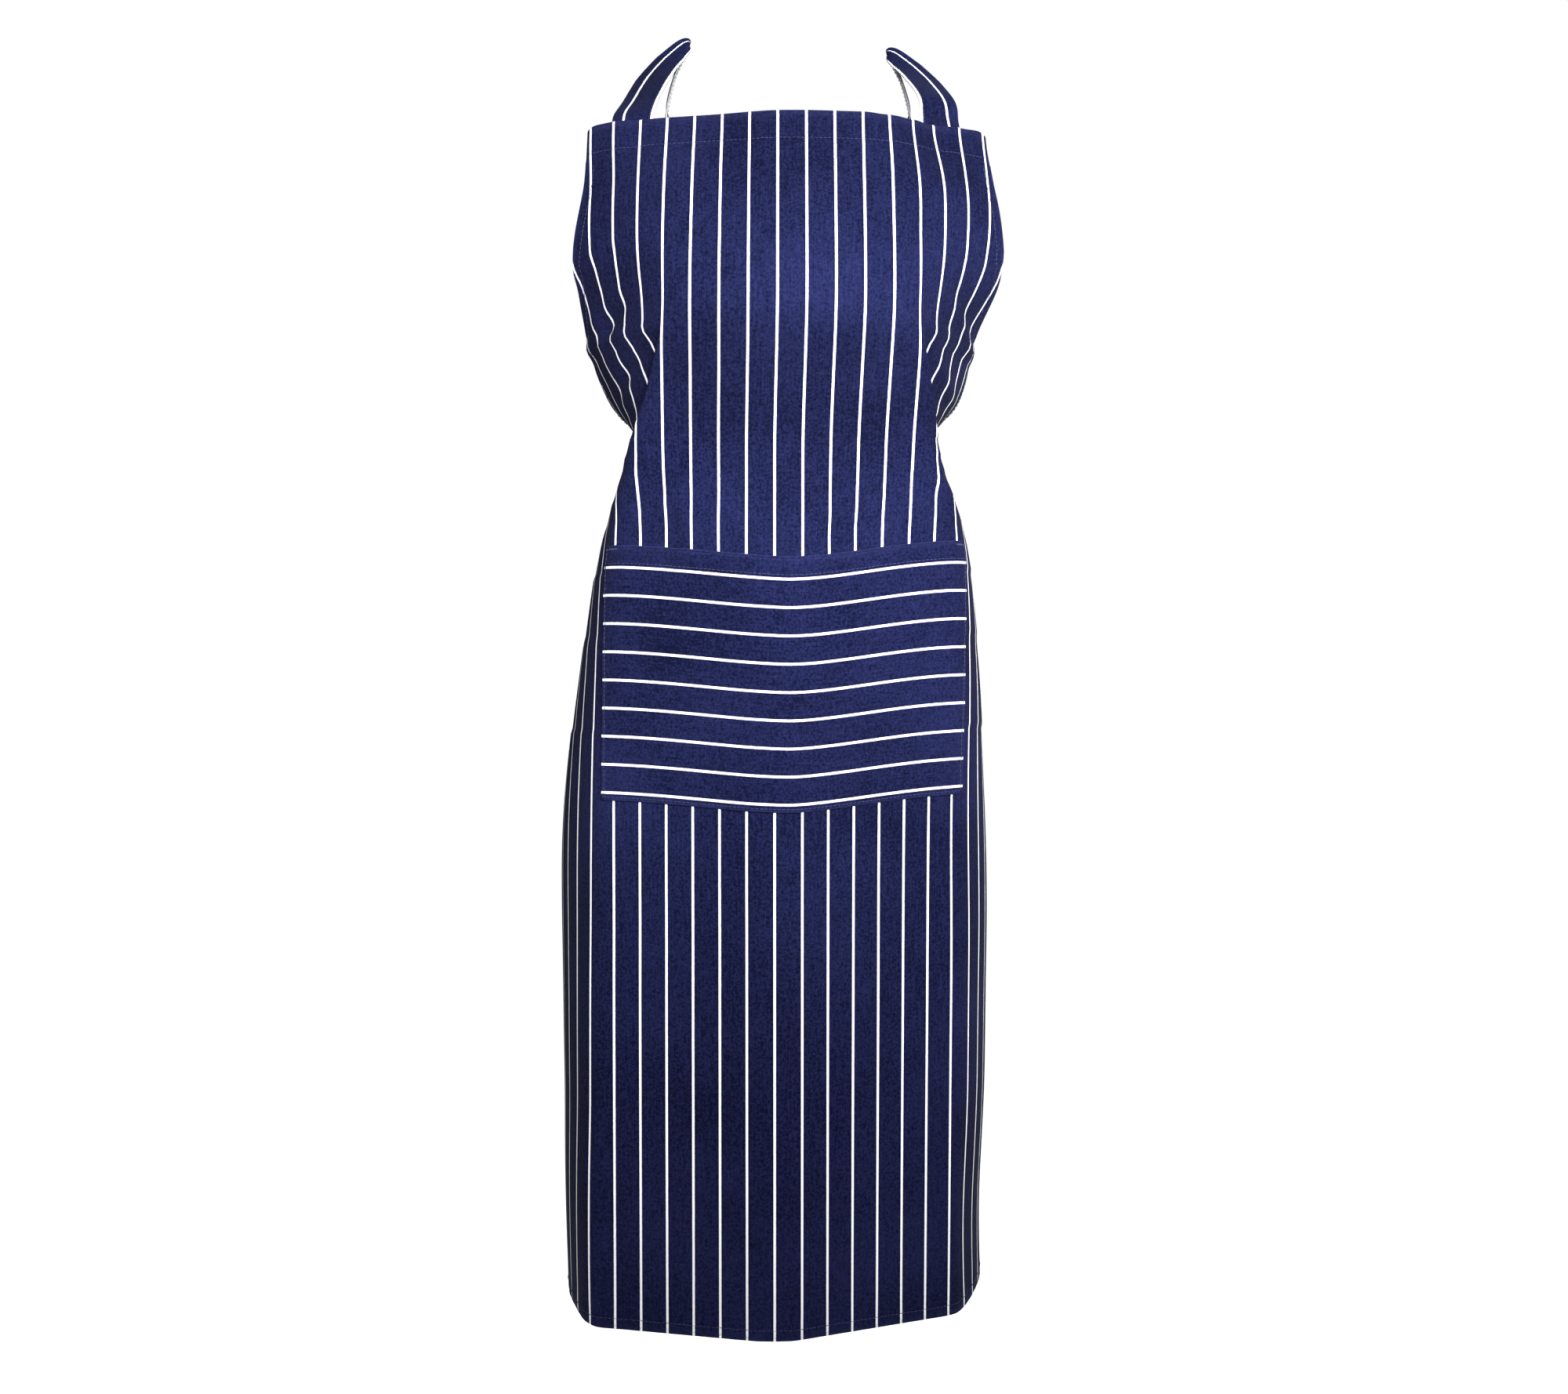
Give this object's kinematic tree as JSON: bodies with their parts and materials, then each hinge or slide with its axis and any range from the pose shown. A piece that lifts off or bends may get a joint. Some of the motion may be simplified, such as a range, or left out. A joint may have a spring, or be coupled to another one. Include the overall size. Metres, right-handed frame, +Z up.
{
  "type": "apron",
  "caption": "Full-length butcher-stripe bib apron hanging as worn, with a patch pocket, a sewn-in neck loop and waist ties knotted in a bow behind.",
  "frame": {"origin": "middle of the neck loop where it bears on the nape", "axes": "+Z up the wearer's body, +Y towards the wearer's back, +X towards the wearer's left"},
  "size_m": [0.3694, 0.3271, 1.0723],
  "materials": {
    "striped_cloth": "matte twill, navy with narrow white stripes",
    "thread": "matte sewing thread"
  },
  "bodies": {
    "apron": {"apron_panel": "striped_cloth", "bib_top_hem": "striped_cloth", "bottom_hem": "striped_cloth", "side_hem_left": "striped_cloth", "side_hem_right": "striped_cloth", "armhole_hem_left": "striped_cloth", "armhole_hem_right": "striped_cloth", "pocket_panel": "striped_cloth", "pocket_mouth_hem": "striped_cloth", "pocket_turnings": "striped_cloth", "strap_end_left": "striped_cloth", "strap_end_right": "striped_cloth", "waist_tie_left": "striped_cloth", "waist_tie_right": "striped_cloth", "bow_knot": "striped_cloth", "top_hem_stitching": "thread", "bottom_hem_stitching": "thread", "side_hem_stitching": "thread", "armhole_stitching": "thread", "pocket_stitching": "thread", "pocket_mouth_stitching": "thread", "pocket_bar_tacks": "thread"},
    "neck_loop": {"neck_strap": "striped_cloth"},
    "left_bow_loop": {"bow_loop_left": "striped_cloth"},
    "right_bow_loop": {"bow_loop_right": "striped_cloth"},
    "left_tie_tail": {"tie_tail_left": "striped_cloth"},
    "right_tie_tail": {"tie_tail_right": "striped_cloth"}
  },
  "joints": [
    {"name": "neck_loop_fold", "type": "hinge", "parent": "apron", "child": "neck_loop", "pos_m": [0, -0.189, -0.0307], "axis": [1, 0, 0], "range_deg": [0, 160]},
    {"name": "left_loop_lift", "type": "hinge", "parent": "apron", "child": "left_bow_loop", "pos_m": [0, 0.03918, -0.297], "axis": [0, 1, 0], "range_deg": [0, 50]},
    {"name": "right_loop_lift", "type": "hinge", "parent": "apron", "child": "right_bow_loop", "pos_m": [0, 0.03918, -0.297], "axis": [0, -1, 0], "range_deg": [0, 50]},
    {"name": "left_tail_swing", "type": "hinge", "parent": "apron", "child": "left_tie_tail", "pos_m": [0, 0.03318, -0.3335], "axis": [1, 0, 0], "range_deg": [0, 85]},
    {"name": "right_tail_swing", "type": "hinge", "parent": "apron", "child": "right_tie_tail", "pos_m": [0, 0.03318, -0.3335], "axis": [1, 0, 0], "range_deg": [0, 85]}
  ]
}
